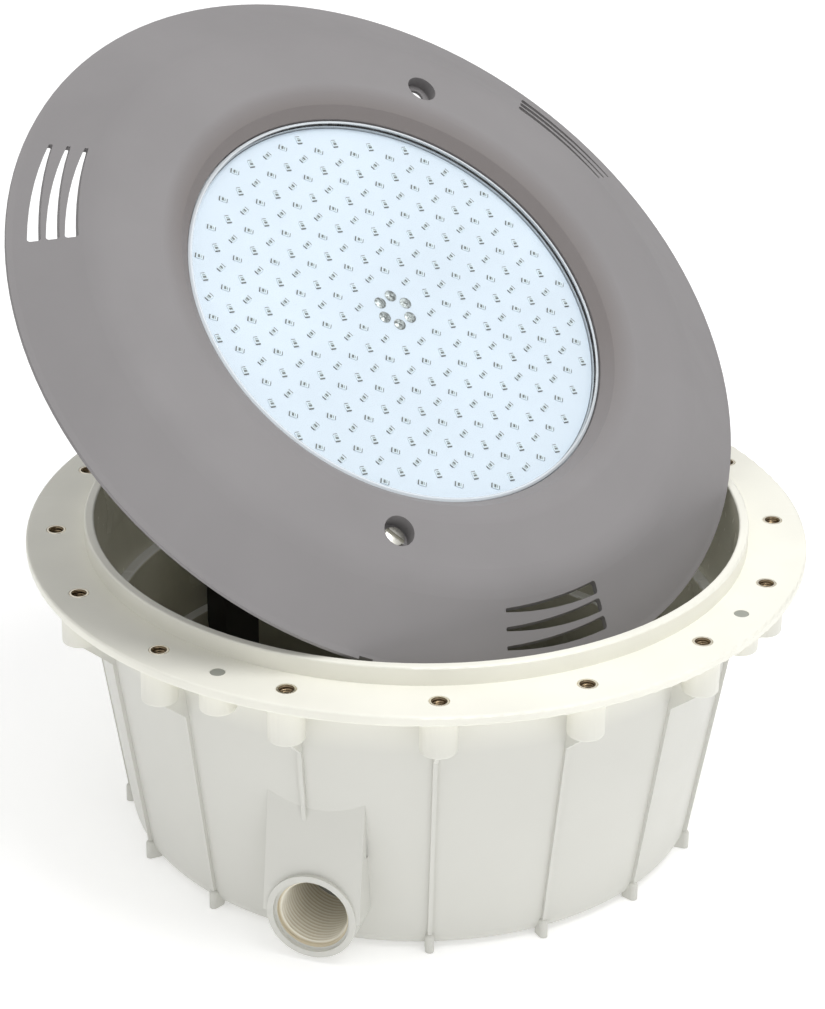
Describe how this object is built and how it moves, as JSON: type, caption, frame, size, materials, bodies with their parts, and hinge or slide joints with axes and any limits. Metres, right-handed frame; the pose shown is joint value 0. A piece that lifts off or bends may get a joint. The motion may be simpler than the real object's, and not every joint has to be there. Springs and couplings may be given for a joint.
{
  "type": "underwater pool light",
  "caption": "Round recessed pool light: domed grey face ring with a flat LED lamp behind a clear lens, leaning in the mouth of its flanged plastic niche.",
  "frame": {"origin": "centre of the top face of the bolt flange", "axes": "+Z out of the niche mouth, along the niche axis; -Y towards the side with the conduit port"},
  "size_m": [0.288, 0.2871, 0.2798],
  "materials": {
    "niche_plastic": "moulded off-white ABS, satin, darker inside",
    "brass": "turned, nickel-washed brass",
    "black_plastic": "black moulded plastic",
    "white_plastic": "moulded white plastic",
    "plug_grey": "moulded grey plastic plug",
    "stainless": "stainless steel",
    "ring_plastic": "moulded warm grey ABS, fine satin",
    "clear_lens": "clear polycarbonate",
    "seal_rubber": "silicone rubber",
    "board_white": "white solder mask",
    "led_package": "white LED package with clear resin",
    "solder": "tinned solder",
    "aluminium": "milled aluminium",
    "board_green": "green solder mask",
    "capacitor_sleeve": "printed sleeve without markings",
    "copper": "enamelled copper winding",
    "chip_black": "epoxy package",
    "connector_green": "terminal block",
    "grey_nylon": "moulded nylon"
  },
  "bodies": {
    "niche": {"niche_shell": "niche_plastic", "blanking_plugs": "plug_grey", "flange_inserts": "brass", "anchor_posts": "black_plastic", "anchor_inserts": "brass", "post_screws": "stainless"},
    "light": {"face_ring": "ring_plastic", "lens": "clear_lens", "lens_gasket": "seal_rubber", "lens_clamp_ring": "white_plastic", "clamp_screws": "stainless", "heat_spreader": "aluminium", "led_board": "board_white", "led_emitters_a": "led_package", "led_emitters_b": "led_package", "led_emitters_c": "led_package", "board_terminals": "solder", "terminal_pins": "solder", "lamp_housing": "black_plastic", "driver_board": "board_green", "driver_standoffs": "brass", "driver_screws": "stainless", "driver_capacitors": "capacitor_sleeve", "driver_choke": "copper", "driver_chips": "chip_black", "driver_connector": "connector_green", "cable_gland": "grey_nylon", "gland_washer": "seal_rubber", "gland_seal": "seal_rubber", "gland_nut": "grey_nylon", "lamp_clips": "stainless", "clip_screws": "stainless"},
    "screw_slide": {"screw_retainer": "seal_rubber"},
    "screw": {"face_screw": "stainless"}
  },
  "joints": [
    {"name": "light_lift", "type": "slide", "parent": "niche", "child": "light", "axis": [0, 0, 1], "range_m": [0, 0.2]},
    {"name": "face_screw_float", "type": "slide", "parent": "light", "child": "screw_slide", "axis": [0.4267, -0.4459, 0.7868], "range_m": [0, 0.005]},
    {"name": "face_screw_turn", "type": "hinge", "parent": "screw_slide", "child": "screw", "pos_m": [-0.00826, -0.08061, 0.03428], "axis": [0.4267, -0.4459, 0.7868], "continuous": true}
  ]
}
